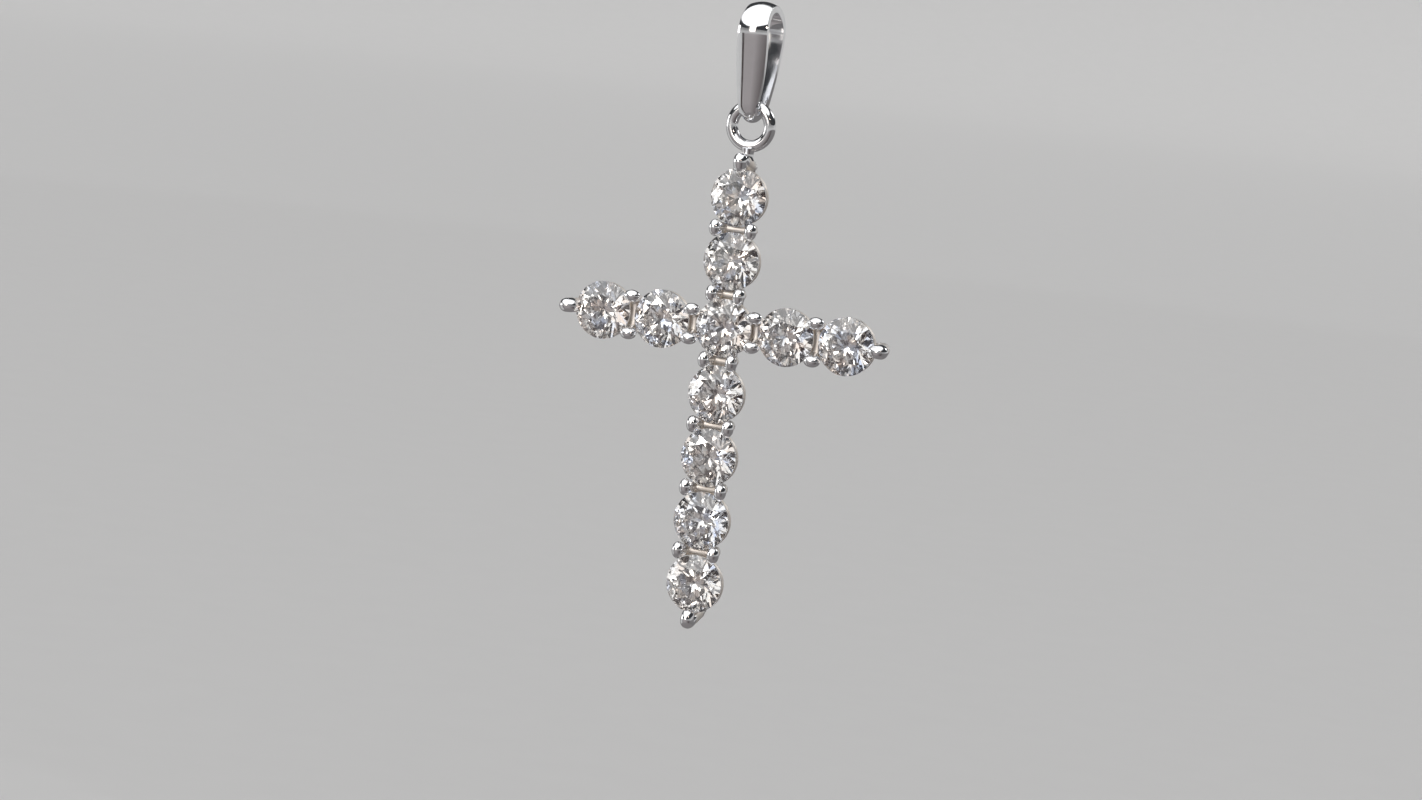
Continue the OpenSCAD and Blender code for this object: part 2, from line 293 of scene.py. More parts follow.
class Cut:
    """The stone's own sizes, seen with its table up and its girdle's middle at zero."""

    def __init__(self, sizes):
        low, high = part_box("centre_stone")
        self.diameter = high.z - low.z
        self.r = self.diameter / 2
        step = math.pi / CROWN_FOLD
        self.step = step
        self.table_r = sizes.table * self.r
        self.girdle_z = sizes.girdle * self.diameter / 2
        self.table_z = self.girdle_z + sizes.crown * self.diameter
        self.culet_z = -self.girdle_z - sizes.pavilion * self.diameter
        self.corner_r = self.r / math.cos(step / 2)
        self.crown_slope = (self.table_z - self.girdle_z) / (self.corner_r - self.table_r)
        self.pavilion_slope = (-self.girdle_z - self.culet_z) / self.corner_r
        self.star_inner_r = self.table_r * math.cos(step)
        self.star_r = self.star_inner_r + sizes.star * (self.corner_r - self.star_inner_r)
        self.star_z = self.girdle_z + self.crown_slope * (
            self.corner_r - self.star_r * math.cos(step)
        )
        self.lower_r = self.corner_r * (1 - sizes.lower_half)
        self.lower_z = -self.girdle_z - self.pavilion_slope * (
            self.corner_r - self.lower_r * math.cos(step)
        )
        clear = sizes.clear
        self.seat_r = self.r + clear
        self.seat_z = -self.girdle_z - clear
        self.seat_point = self.culet_z - clear - clear * math.hypot(1, self.pavilion_slope)
        self.seat_slope = (self.seat_z - self.seat_point) / self.seat_r

    def place(self, stone):
        """The matrix that puts something drawn with its front up at a stone's girdle."""
        low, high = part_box(stone)
        middle = (low + high) / 2
        girdle = Vector((middle.x, low.y + self.table_z, middle.z))
        return Matrix.Translation(girdle) @ Matrix.Rotation(RIGHT_ANGLE, 4, "X")

    def tiers(self):
        """Each tier of facets: its first direction and the step to the next, both in steps of
        the crown, then the radius and height of a point on the facet, and its slope."""
        half = math.cos(self.step / 2)
        upper_slope = (self.star_z - self.girdle_z) / (self.r - self.star_r * half)
        lower_slope = (self.lower_z + self.girdle_z) / (self.r - self.lower_r * half)
        star_slope = (self.table_z - self.star_z) / (self.star_r - self.star_inner_r)
        return {
            "kites": (0, 2, self.table_r, self.table_z, self.crown_slope),
            "stars": (1, 2, self.star_r, self.star_z, star_slope),
            "upper halves": (0.5, 1, self.r, self.girdle_z, upper_slope),
            "mains": (0, 2, 0, self.culet_z, -self.pavilion_slope),
            "lower halves": (0.5, 1, self.r, -self.girdle_z, lower_slope),
        }


def ring_edges(verts):
    """The edges that join these vertices to each other, each once and always in one order."""
    chosen = set(verts)
    joined = (e for v in verts for e in v.link_edges if e.other_vert(v) in chosen)
    return list(dict.fromkeys(joined))


def station(centre, along, side, breadth, depth):
    """Places a unit circle at centre, square to along, with its half sizes on side and across."""
    along = along.normalized()
    across = along.cross(side)
    matrix = Matrix((side * breadth, across * depth, along)).transposed().to_4x4()
    matrix.translation = centre
    return matrix


def loft(bm, stations):
    """A closed round wire through stations, each a matrix that places a unit circle."""
    verts = bmesh.ops.create_circle(
        bm, cap_ends=True, radius=1, segments=WIRE_SIDES, matrix=stations[0]
    )["verts"]
    for before, after in itertools.pairwise(stations):
        grown = bmesh.ops.extrude_edge_only(bm, edges=ring_edges(verts))["geom"]
        verts = [item for item in grown if isinstance(item, bmesh.types.BMVert)]
        bmesh.ops.transform(bm, matrix=after @ before.inverted(), verts=verts)
    bmesh.ops.edgeloop_fill(bm, edges=ring_edges(verts))


def bent_wire(bm, place, path, radii, side):
    """A wire with round ends along a path in one plane, with a radius for each point."""
    steps = [after - before for before, after in itertools.pairwise(path)]
    along = [steps[0], *(a + b for a, b in itertools.pairwise(steps)), steps[-1]]
    stations = [station(p, a, side, r, r) for p, a, r in zip(path, along, radii)]

    def dome(point, way, r, sign):
        """The rings of one round end, from the wire outwards."""
        way = way.normalized()
        return [
            station(
                point + way * sign * r * math.sin(a), way, side, r * math.cos(a), r * math.cos(a)
            )
            for a in WIRE_DOME
        ]

    start = reversed(dome(path[0], steps[0], radii[0], -1))
    end = dome(path[-1], steps[-1], radii[-1], 1)
    loft(bm, [place @ s for s in (*start, *stations, *end)])


def spin(bm, geom, centre, axis, steps):
    """Turns a profile once round an axis."""
    bmesh.ops.spin(
        bm, geom=geom, cent=centre, axis=axis, dvec=(0, 0, 0), angle=2 * math.pi, steps=steps,
        use_merge=True,
    )


def turned(bm, place, profile, steps, closed=True):
    """Something round, turned from a profile of (radius, height) points."""
    verts = [bm.verts.new((r, 0, z)) for r, z in profile]
    edges = [bm.edges.new(pair) for pair in itertools.pairwise(verts)]
    if closed:
        edges.append(bm.edges.new((verts[-1], verts[0])))
    old = set(bm.verts) - set(verts)
    spin(bm, verts + edges, (0, 0, 0), Z_AXIS, steps)
    bmesh.ops.transform(bm, matrix=place, verts=[v for v in bm.verts if v not in old])


def block(bm, place, low, high):
    """A block between two corners."""
    middle = (low + high) / 2
    size = Matrix.Diagonal((*(high - low), 1))
    bmesh.ops.create_cube(bm, size=1, matrix=place @ Matrix.Translation(middle) @ size)


def round_edges(bm, offset):
    """Rounds every sharp edge."""
    bmesh.ops.recalc_face_normals(bm, faces=bm.faces)
    sharp = [e for e in bm.edges if len(e.link_faces) == 2 and e.calc_face_angle() > SHARP]
    bmesh.ops.bevel(
        bm, geom=sharp, offset=offset, segments=EDGE_STEPS, profile=0.5, affect="EDGES",
        material=-1, clamp_overlap=True,
    )


def object_of(bm, name, materials, smooth):
    """Turns a bmesh into an object of the scene."""
    for face in bm.faces:
        face.smooth = smooth
    mesh = bpy.data.meshes.new(name)
    bm.to_mesh(mesh)
    bm.free()
    for material in materials:
        mesh.materials.append(material)
    made = bpy.data.objects.new(name, mesh)
    bpy.context.scene.collection.objects.link(made)
    return made


def finish_piece(bm, name, body, materials, replaced, smooth=True):
    """Turns a bmesh into a piece that rides on a body and stands for CAD nodes."""
    bmesh.ops.remove_doubles(bm, verts=bm.verts, dist=MERGE)
    bmesh.ops.recalc_face_normals(bm, faces=bm.faces)
    piece = object_of(bm, name, materials, smooth)
    if smooth:
        piece.data.set_sharp_from_angle(angle=SHARP)
    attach(piece, body)
    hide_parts(*replaced)


def finish_metal(bm, name, metal, body="cross", node="setting"):
    """Finishes a piece of white metal in one of the mixed metals."""
    finish_piece(bm, name, body, [bpy.data.materials[metal]], [node])


class Wire:
    """A socket in a material's node tree. Arithmetic on it adds Math nodes."""

    def __init__(self, tree, socket=None):
        self.tree = tree
        self.socket = socket

    def node(self, kind, inputs, output=0, **settings):
        """Adds a node, sets its settings and then its sockets, and returns one output."""
        made = self.tree.nodes.new(kind)
        for name, value in settings.items():
            if name == "stops":
                while len(made.color_ramp.elements) < len(value):
                    made.color_ramp.elements.new(1)
                for element, (position, shade) in zip(made.color_ramp.elements, value):
                    element.position = position
                    element.color = shade
            else:
                setattr(made, name, value)
        for name, value in inputs.items():
            if isinstance(value, Wire):
                value.to(made.inputs[name])
            else:
                made.inputs[name].default_value = value
        return Wire(self.tree, made.outputs[output])

    def to(self, socket):
        """Links this output to a socket."""
        self.tree.links.new(self.socket, socket)

    def math(self, operation, first, second):
        """Adds a Math node and returns its output."""
        return self.node("ShaderNodeMath", {0: first, 1: second}, operation=operation)

    def __add__(self, other):
        return self.math("ADD", self, other)

    __radd__ = __add__

    def __mul__(self, other):
        return self.math("MULTIPLY", self, other)

    def __sub__(self, other):
        return self.math("SUBTRACT", self, other)

    def __rsub__(self, other):
        return self.math("SUBTRACT", other, self)

    def __truediv__(self, other):
        return self.math("DIVIDE", self, other)

    def between(self, low, high):
        """Zero at low and one at high, held there outside them."""
        return self.node(
            "ShaderNodeMapRange", {"Value": self, "From Min": low, "From Max": high},
            interpolation_type="SMOOTHSTEP",
        )

    def mix(self, first, second):
        """A colour between two others, with this value as the share of the second."""
        return self.node("ShaderNodeMix", {0: self, 6: first, 7: second}, 2, data_type="RGBA")

    def noise(self, scale, detail, roughness=0.5):
        """Noise in the space of these coordinates."""
        return self.node(
            "ShaderNodeTexNoise",
            {"Vector": self, "Scale": scale, "Detail": detail, "Roughness": roughness},
        )


def material_of(name, **constants):
    """A material with one Principled shader. Returns it, its shader node and its Object
    coordinates."""
    material = bpy.data.materials.new(name)
    material.use_nodes = True
    shader = material.node_tree.nodes["Principled BSDF"]
    for socket, value in constants.items():
        shader.inputs[socket.replace("_", " ")].default_value = value
    tree = Wire(material.node_tree)
    return material, shader, tree.node("ShaderNodeTexCoord", {}, "Object")


def rgba(shade, brightness=1):
    """A colour for a socket, full or darkened."""
    return (*(channel * brightness for channel in shade), 1)


def polished_metal(finish, name, satin_and_sheen_zone=None):
    """White metal with uneven polish and fine scratches. In a zone between depths, where no
    polishing brush reaches, it stays satin, and there it is also painted a lighter, warm tone: a
    painted warm reflection."""
    _, shader, place = material_of(name, Metallic=1.0)
    patches = place.noise(scale=900, detail=3, roughness=0.55)
    stretched = place.node("ShaderNodeMapping", {"Vector": place, "Scale": (9000, 1600, 1600)})
    scratches = stretched.noise(scale=1, detail=2)
    smears = patches.between(low=0.35, high=0.7)
    roughness = finish.polish + smears * finish.unpolished
    tone = smears.mix(rgba(finish.metal), rgba(finish.metal, finish.dulled))
    if satin_and_sheen_zone is not None:
        depth = place.node("ShaderNodeSeparateXYZ", {"Vector": place}, "Y")
        start, full, fading, end = satin_and_sheen_zone
        satin = depth.between(start, full) * (1 - depth.between(fading, end))
        # Here the metal is also painted a warm, lighter tone, patchy at random: a painted warm
        # reflection on the satin behind the girdles
        painted_sheen = satin * (finish.mottle + patches * (1 - finish.mottle))
        tone = painted_sheen.mix(tone, rgba(finish.gallery_sheen))
        roughness = roughness + satin * finish.satin
    height = scratches + patches * finish.wave
    bump = height.node(
        "ShaderNodeBump", {"Height": height, "Strength": 0.12, "Distance": 0.004 * MM}
    )
    tone.to(shader.inputs["Base Color"])
    roughness.to(shader.inputs["Roughness"])
    bump.to(shader.inputs["Normal"])


def clear_stone(finish):
    """Clear stone, with faint cool and warm tints that change from place to place: painted fire,
    standing in for the coloured flashes that the stone's dispersion of light gives.
    """
    cool_end, warm_start = 0.3, 0.72
    material, shader, place = material_of(
        "clear_stone", Roughness=0.0, IOR=finish.index, Transmission_Weight=1.0
    )
    # Patches of painted fire: cool and warm tints in the stone's colour, standing in for the
    # flashes of its dispersion
    cells = place.node("ShaderNodeTexVoronoi", {"Vector": place, "Scale": 2100}, "Color")
    spread = cells.node("ShaderNodeSeparateXYZ", {"Vector": cells}, "X")
    fire = spread.node(
        "ShaderNodeValToRGB", {"Fac": spread},
        stops=(
            (0, rgba(finish.cool)), (cool_end, rgba(finish.stone)),
            (warm_start, rgba(finish.stone)), (1, rgba(finish.warm)),
        ),
    )
    fire.to(shader.inputs["Base Color"])
    return material


def ground_girdle(finish):
    """The fine-ground band round each stone."""
    material, shader, place = material_of(
        "ground_girdle", IOR=finish.index, Transmission_Weight=1.0
    )
    grain = place.noise(scale=9000, detail=2)
    tone = grain.mix(rgba(finish.stone), rgba(finish.stone, finish.grain_tone))
    roughness = finish.ground + grain * finish.grain
    tone.to(shader.inputs["Base Color"])
    roughness.to(shader.inputs["Roughness"])
    return material


def cut_brilliant(cut):
    """One brilliant, cut from a round blank as a cutter does, tier by tier."""
    bm = bmesh.new()
    middle = Matrix.Translation((0, 0, (cut.table_z + cut.culet_z) / 2))
    bmesh.ops.create_cone(
        bm, cap_ends=True, segments=GIRDLE_SIDES, radius1=cut.r, radius2=cut.r,
        depth=cut.table_z - cut.culet_z, matrix=middle,
    )
    girdle = bm.faces.layers.int.new("girdle")
    for face in bm.faces:
        face[girdle] = int(face.normal.xy.length > abs(face.normal.z))
    for first, step, r, z, slope in cut.tiers().values():
        side = math.copysign(1, slope)
        for i in range(round(2 * CROWN_FOLD / step)):
            turn = (first + i * step) * cut.step
            out = Vector((math.cos(turn), math.sin(turn), 0))
            normal = out * abs(slope) + Z_AXIS * side
            made = bmesh.ops.bisect_plane(
                bm, geom=[*bm.verts, *bm.edges, *bm.faces], dist=MERGE,
                plane_co=out * r + Z_AXIS * z, plane_no=normal, clear_outer=True,
            )["geom_cut"]
            rim = [item for item in made if isinstance(item, bmesh.types.BMEdge)]
            if rim:
                for face in bmesh.ops.edgeloop_fill(bm, edges=rim)["faces"]:
                    face[girdle] = 0
    for face in bm.faces:
        face.material_index = face[girdle]
    return bm


class PENDANT_OT_cut_stones(bpy.types.Operator):
    """Cut the eleven brilliants and set each in its place"""

    bl_idname = "pendant.cut_stones"
    bl_label = "Cut Stones"

    def execute(self, context):
        sizes = context.scene.pendant_stones
        finish = context.scene.pendant_finish
        cut = Cut(sizes)
        materials = (clear_stone(finish), ground_girdle(finish))
        brilliant = cut_brilliant(cut)
        for index, stone in enumerate(STONES):
            bm = brilliant.copy()
            turn = Matrix.Rotation(index * sizes.turn, 4, "Z")
            bmesh.ops.transform(bm, matrix=cut.place(stone) @ turn, verts=bm.verts)
            finish_piece(
                bm, f"cut_{stone}", "cross", materials, [stone], smooth=False
            )
        brilliant.free()
        return {"FINISHED"}


def depths(cut, metal):
    """The heights of the setting's pieces over the girdles: the back of the lower rings, the
    middle of the upper rings' bars and the back of the bars that join the lower rings."""
    base_z = cut.culet_z - metal.culet_cover
    bar_z = -metal.seat_drop - metal.seat_h / 2
    link_z = base_z + (metal.base_h - metal.link_h) / 2
    return base_z, bar_z, link_z


def pairs_of_stones(cut):
    """Neighbours on the cross, each pair once, with the place midway between them, seen with
    its first axis along the arm, and their spacing."""
    for first, second in itertools.combinations(STONES, 2):
        a, b = cut.place(first), cut.place(second)
        step = b.translation - a.translation
        if step.length < NEIGHBOURS * cut.diameter:
            middle = a.copy()
            middle.translation = (a.translation + b.translation) / 2
            upright = abs(step.z) > abs(step.x)
            turn = Matrix.Rotation(RIGHT_ANGLE if upright else 0, 4, "Z")
            yield "centre_stone" in (first, second), middle @ turn, step.length


class PENDANT_OT_seat_rings(bpy.types.Operator):
    """Turn the upper rings, each with the seat that its stone sits in"""

    bl_idname = "pendant.seat_rings"
    bl_label = "Seat Rings"

    def execute(self, context):
        metal = context.scene.pendant_setting
        cut = Cut(context.scene.pendant_stones)
        outer = cut.r - metal.seat_inset
        inner = outer - metal.seat_wall
        top = -metal.seat_drop
        bottom = top - metal.seat_h
        profile = (
            (inner, bottom), (outer, bottom), (outer, top),
            ((top - cut.seat_point) / cut.seat_slope, top),
            (inner, cut.seat_point + cut.seat_slope * inner),
        )
        bm = bmesh.new()
        for stone in STONES:
            turned(bm, cut.place(stone), profile, RING_STEPS)
        round_edges(bm, metal.edge)
        finish_metal(bm, "seat_rings", "gallery_metal")
        return {"FINISHED"}


class PENDANT_OT_base_rings(bpy.types.Operator):
    """Turn the lower rings and join them with bars"""

    bl_idname = "pendant.base_rings"
    bl_label = "Base Rings"

    def execute(self, context):
        metal = context.scene.pendant_setting
        cut = Cut(context.scene.pendant_stones)
        base_z, _, link_z = depths(cut, metal)
        outer = cut.r - metal.base_inset
        inner = outer - metal.base_wall
        top = base_z + metal.base_h
        profile = ((inner, base_z), (outer, base_z), (outer, top), (inner, top))
        bm = bmesh.new()
        for stone in STONES:
            turned(bm, cut.place(stone), profile, RING_STEPS)
        hold = (inner + outer) / 2
        for _, place, spacing in pairs_of_stones(cut):
            half = spacing / 2 - hold
            low = Vector((-half, -metal.link_w / 2, link_z))
            block(bm, place, low, Vector((half, metal.link_w / 2, link_z + metal.link_h)))
        round_edges(bm, metal.edge)
        finish_metal(bm, "base_rings", "gallery_metal")
        return {"FINISHED"}


def shared_prong(bm, place, metal, base_z, half, side):
    """One prong, from its round foot to its long, domed head."""
    wire_r = metal.prong_wire / 2
    lean = side * math.tan(metal.prong_lean)
    foot_z = base_z + wire_r
    neck_z = metal.head_rise - metal.head_w * metal.neck
    shoulder_z = metal.head_rise - metal.head_w * metal.shoulder
    head_l, head_w = metal.head_l / 2, metal.head_w / 2
    rows = [
        (foot_z - wire_r * math.sin(a), wire_r * math.cos(a), wire_r * math.cos(a))
        for a in reversed(HEAD_DOME)
    ]
    rows += [
        (foot_z, wire_r, wire_r),
        (neck_z, wire_r, wire_r),
        (shoulder_z, head_l * metal.shoulder_l, (wire_r + head_w) / 2),
        (metal.head_rise, head_l, head_w),
    ]
    rows += [
        (metal.head_rise + head_w * math.sin(a), head_l * math.cos(a), head_w * math.cos(a))
        for a in HEAD_DOME
    ]
    along = Vector((0, lean, 1))
    loft(bm, [
        place @ station(
            Vector((0, side * half - (metal.head_rise - z) * lean, z)), along, X_AXIS, u, v
        )
        for z, u, v in rows
    ])


class PENDANT_OT_shared_prongs(bpy.types.Operator):
    """Stand a pair of prongs between each two stones, with the bar that joins them"""

    bl_idname = "pendant.shared_prongs"
    bl_label = "Shared Prongs"

    def execute(self, context):
        metal = context.scene.pendant_setting
        cut = Cut(context.scene.pendant_stones)
        base_z, bar_z, _ = depths(cut, metal)
        head_half = (metal.head_l - metal.head_w) / 2
        bar_r = metal.bar_d / 2
        bar_rings = (
            (-1, bar_r), (-0.5, bar_r * metal.bar_waist),
            (0.5, bar_r * metal.bar_waist), (1, bar_r),
        )
        bm = bmesh.new()
        for beside_centre, place, spacing in pairs_of_stones(cut):
            grip = metal.centre_grip if beside_centre else metal.prong_grip
            reach = cut.r - grip + metal.head_w / 2
            half = math.sqrt(reach ** 2 - (spacing / 2 - head_half) ** 2)
            for side in (1, -1):
                shared_prong(bm, place, metal, base_z, half, side)
            bar_half = half - (metal.head_rise - bar_z) * math.tan(metal.prong_lean)
            loft(bm, [
                place @ station(Vector((0, at * bar_half, bar_z)), Y_AXIS, X_AXIS, r, r)
                for at, r in bar_rings
            ])
        finish_metal(bm, "shared_prongs", "gallery_metal")
        return {"FINISHED"}


def claw_path(metal, foot, bend, tip, wire_r, tip_r):
    """The points of a claw from its foot through its bend to its tip, and the wire's radius
    at each."""
    start = foot.lerp(bend, metal.claw_straight)
    corner = bend + Vector((metal.claw_swing, 0, metal.claw_lift))
    path = [foot, foot.lerp(bend, metal.claw_straight / 2)]
    radii = [wire_r, wire_r]
    for i in range(CLAW_STEPS):
        t = i / (CLAW_STEPS - 1)
        path.append(start.lerp(corner, t).lerp(corner.lerp(tip, t), t))
        radii.append(wire_r + (tip_r - wire_r) * t)
    return path, radii


class PENDANT_OT_tip_claws(bpy.types.Operator):
    """Bend a claw over the outermost stone of each arm"""

    bl_idname = "pendant.tip_claws"
    bl_label = "Tip Claws"

    def execute(self, context):
        metal = context.scene.pendant_setting
        cut = Cut(context.scene.pendant_stones)
        base_z, bar_z, link_z = depths(cut, metal)
        wire_r = metal.claw_wire / 2
        tip_r = metal.claw_tip / 2
        foot = Vector((cut.r + metal.claw_foot, 0, base_z + wire_r))
        bend = Vector((cut.r + metal.claw_reach - wire_r, 0, metal.claw_rise))
        tip = Vector((cut.r - metal.claw_grip + tip_r, 0, metal.claw_tip_rise))
        path, radii = claw_path(metal, foot, bend, tip, wire_r, tip_r)
        places = [
            cut.place(stone) @ Matrix.Rotation(math.radians(turn), 4, "Z")
            for stone, turn in TIPS.items()
        ]
        bm = bmesh.new()
        hold = cut.r - metal.base_inset - metal.base_wall / 2
        for place in places:
            block(
                bm, place, Vector((hold, -tip_r, link_z)),
                Vector((foot.x, tip_r, link_z + metal.link_h)),
            )
        round_edges(bm, metal.edge)
        bar_r = metal.claw_bar / 2
        bar_start = cut.r - metal.seat_inset - metal.seat_wall / 2
        bar_end = foot.lerp(bend, (bar_z - foot.z) / (bend.z - foot.z)).x
        for place in places:
            bent_wire(bm, place, path, radii, Y_AXIS)
            loft(bm, [
                place @ station(Vector((x, 0, bar_z)), X_AXIS, Y_AXIS, bar_r, bar_r)
                for x in (bar_start, bar_end)
            ])
        finish_metal(bm, "tip_claws", "gallery_metal")
        return {"FINISHED"}


def ring_places(scene):
    """The middle of the hanging ring, its middle radius and the axis that it swings about."""
    ring = scene.pendant_ring
    bail = scene.pendant_bail
    low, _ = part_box("bail")
    middle_r = (ring.diameter - ring.wire) / 2
    pivot = Vector((0, 0, low.z + bail.sheet + ring.play + ring.wire / 2))
    return pivot - Z_AXIS * middle_r, middle_r, pivot


class PENDANT_OT_soldered_ring(bpy.types.Operator):
    """Bend the ring that hangs in the bail, and flow its solder foot onto the top claw"""

    bl_idname = "pendant.soldered_ring"
    bl_label = "Soldered Ring"

    def execute(self, context):
        ring = context.scene.pendant_ring
        metal = context.scene.pendant_setting
        centre, middle_r, _ = ring_places(context.scene)
        wire_r = ring.wire / 2
        bm = bmesh.new()
        start = bmesh.ops.create_circle(
            bm, radius=wire_r, segments=WIRE_SIDES,
            matrix=Matrix.Translation(centre + X_AXIS * middle_r),
        )["verts"]
        spin(bm, start + ring_edges(start), centre, Y_AXIS, RING_STEPS)
        top = centre - Z_AXIS * (middle_r + wire_r * ring.foot_start)
        bottom = centre - Z_AXIS * (middle_r + wire_r + metal.claw_reach / 2)
        foot_rings = (
            (0, ring.foot_flare), (ring.foot_waist, ring.foot),
            (1 - ring.foot_waist, ring.foot), (1, ring.foot_flare),
        )
        loft(bm, [
            station(top.lerp(bottom, t), -Z_AXIS, X_AXIS, d / 2, d / 2)
            for t, d in foot_rings
        ])
        finish_metal(bm, "soldered_ring", "bail_metal")
        return {"FINISHED"}


def bail_stations(bail, low, high):
    """Places round the bail's inside, over the top bend, down the front leg, round the bottom
    bend and up the back leg: a point, the way out from it and the radius of the dome there."""
    top_r = bail.top_depth / 2
    bottom_r = bail.bottom_depth / 2
    top_z = high.z - top_r
    bottom_z = low.z + bottom_r
    slant = math.asin((top_r - bottom_r) / (top_z - bottom_z))
    bends = (
        (Vector((0, 0, top_z)), top_r, -slant, math.pi + slant),
        (Vector((0, 0, bottom_z)), bottom_r, math.pi + slant, 2 * math.pi - slant),
    )
    stations = []
    for here, there in (bends, reversed(bends)):
        centre, r, start, end = here
        next_centre, next_r, _, _ = there
        for i in range(BEND_STEPS + 1):
            turn = start + (end - start) * i / BEND_STEPS
            out = Vector((0, math.cos(turn), math.sin(turn)))
            stations.append((centre + out * (r - bail.sheet), out, r))
        for i in range(1, LEG_STEPS):
            t = i / LEG_STEPS
            dome = r + (next_r - r) * t
            stations.append((centre.lerp(next_centre, t) + out * (dome - bail.sheet), out, dome))
    return stations


def eased(t):
    """A share of the way that starts and ends gently, and stays between zero and one."""
    t = min(1, max(0, t))
    return t ** 2 * (3 - 2 * t)


def bail_section(scene, point, out, dome, low, high):
    """The bail's closed section at one place: domed outside and flat inside, but for the
    hollow that the ring's wire turns in. The flanks follow one arc, through the widest place
    and the neck, and near the bottom the section rounds off to thin edges."""
    bail = scene.pendant_bail
    ring = scene.pendant_ring
    _, middle_r, pivot = ring_places(scene)
    wide_z = high.z - bail.wide_drop
    taper = (bail.width - bail.neck) / 2
    flank_r = ((wide_z - pivot.z) ** 2 + taper ** 2) / (2 * taper)
    tip_r = bail.tip / 2
    outer_z = point.z + out.z * bail.sheet
    flank = math.sqrt(flank_r ** 2 - (outer_z - wide_z) ** 2) - flank_r + bail.width / 2
    half = max(flank, tip_r)
    round_share = eased((low.z + tip_r - outer_z) / tip_r)
    edge = bail.sheet - (dome - math.sqrt(dome ** 2 - half ** 2))
    edge += (bail.thin_edge - edge) * round_share
    power = PARABOLA + (ELLIPSE - PARABOLA) * round_share
    hole = ring.diameter / 2 - ring.wire - ring.play
    distance = (point - pivot).length
    section = []
    for i in range(SECTION_STEPS + 1):
        x = -math.cos(math.pi * i / SECTION_STEPS)
        height = edge + (bail.sheet - edge) * max(0, 1 - x * x) ** power
        section.append(point + out * height + X_AXIS * (x * half))
    for i in range(SECTION_STEPS + 1):
        x = math.cos(math.pi * i / SECTION_STEPS) * half
        room = middle_r - math.sqrt(max(hole ** 2 - x ** 2, 0)) - distance
        height = min(max(0, room), edge * bail.hollow)
        section.append(point + out * height + X_AXIS * x)
    return section


class PENDANT_OT_folded_bail(bpy.types.Operator):
    """Fold the tapering, domed bail"""

    bl_idname = "pendant.folded_bail"
    bl_label = "Folded Bail"

    def execute(self, context):
        scene = context.scene
        low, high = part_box("bail")
        sections = [
            bail_section(scene, *place, low, high)
            for place in bail_stations(scene.pendant_bail, low, high)
        ]
        columns, rows = len(sections), len(sections[0])
        bm = bmesh.new()
        bmesh.ops.create_grid(bm, x_segments=columns, y_segments=rows, size=0.5)
        for vert in bm.verts:
            column = round((vert.co.x + 0.5) * columns) % columns
            row = round((vert.co.y + 0.5) * rows) % rows
            vert.co = sections[column][row]
        bmesh.ops.remove_doubles(bm, verts=bm.verts, dist=MERGE)
        round_edges(bm, scene.pendant_bail.edge)
        finish_metal(bm, "folded_bail", "bail_metal", "bail", "bail")
        return {"FINISHED"}


class PENDANT_OT_mix_metals(bpy.types.Operator):
    """Mix the finishes of the polished metal"""

    bl_idname = "pendant.mix_metals"
    bl_label = "Mix Metals"

    def execute(self, context):
        finish = context.scene.pendant_finish
        front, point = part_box("centre_stone")
        satin_and_sheen_zone = (
            front.y + finish.satin_start, front.y + finish.satin_full,
            point.y - finish.satin_fade, point.y,
        )
        polished_metal(finish, "bail_metal")
        polished_metal(finish, "gallery_metal", satin_and_sheen_zone)
        return {"FINISHED"}


# Each soft light: its direction from the pendant, in degrees from the front and up, then
# its distance and size in metres, its power in watts and its colour
LIGHTS = (
    ("left_box", -82, 2, 0.4, 0.16, 0.25, (1, 0.98, 0.96)),
    ("key", -38, 30, 0.5, 0.07, 0.35, (1, 0.98, 0.95)),
    ("front_box", -16, 13, 0.45, 0.18, 0.34, (1, 0.93, 0.85)),
    ("warm_glint", 34, 22, 0.5, 0.025, 0.06, (1, 0.82, 0.7)),
    ("cool_glint", 8, 38, 0.5, 0.025, 0.06, (0.72, 0.8, 1)),
    ("low_glint", -12, 9, 0.5, 0.025, 0.05, (1, 0.95, 0.98)),
    ("back_box", 150, 30, 0.4, 0.1, 0.2, (1, 1, 1)),
)

# The shades of the cards on the floor
DARK = (0.035, 0.02, 0.02)
GREY = (0.38, 0.35, 0.35)
UNDER_GREY = (0.27, 0.25, 0.25)
BACK_GREY = (0.22, 0.21, 0.21)

# Each card that shows in the metal: the two directions from the pendant between which it
# lies, in degrees, its near and far ends in metres, and its shades in the two directions
METAL_CARDS = (
    ("left_card", (-60, -50), (0.03, 0.4), (DARK, DARK)),
    ("middle_card", (-50, 0), (0.03, 0.4), (GREY, GREY)),
    ("right_card", (0, 62), (0.03, 0.4), (GREY, DARK)),
    ("under_card", (0, 360), (0, 0.03), (UNDER_GREY, UNDER_GREY)),
    ("back_card", (62, 245), (0.03, 0.5), (BACK_GREY, BACK_GREY)),
)

# The same for the cards that show in the stones
STONE_CARDS = (
    ("left_stone_card", (-60, -50), (0.03, 0.4), (DARK, DARK)),
    ("middle_stone_card", (-50, 4), (0.03, 0.4), (GREY, GREY)),
    ("right_stone_card", (4, 62), (0.03, 0.4), (DARK, DARK)),
)

# How far the cards lie over the floor, in metres
CARD_LIFT = 0.001

# A full turn in degrees, and the direction at which Blender's radial gradient starts
FULL_TURN = 360
GRADIENT_START = -90

# Radii of the rings in the flat part of the floor, and the nearest and farthest distance
# that the camera sees, all in metres
FLOOR_RINGS = (0, 0.1, 0.4)
CLIP = (0.01, 10)


def ray(turn, rise):
    """The way from the pendant at a turn from the front and a rise above the horizon."""
    turn, rise = math.radians(turn), math.radians(rise)
    flat = math.cos(rise)
    return Vector((math.sin(turn) * flat, -math.cos(turn) * flat, math.sin(rise)))


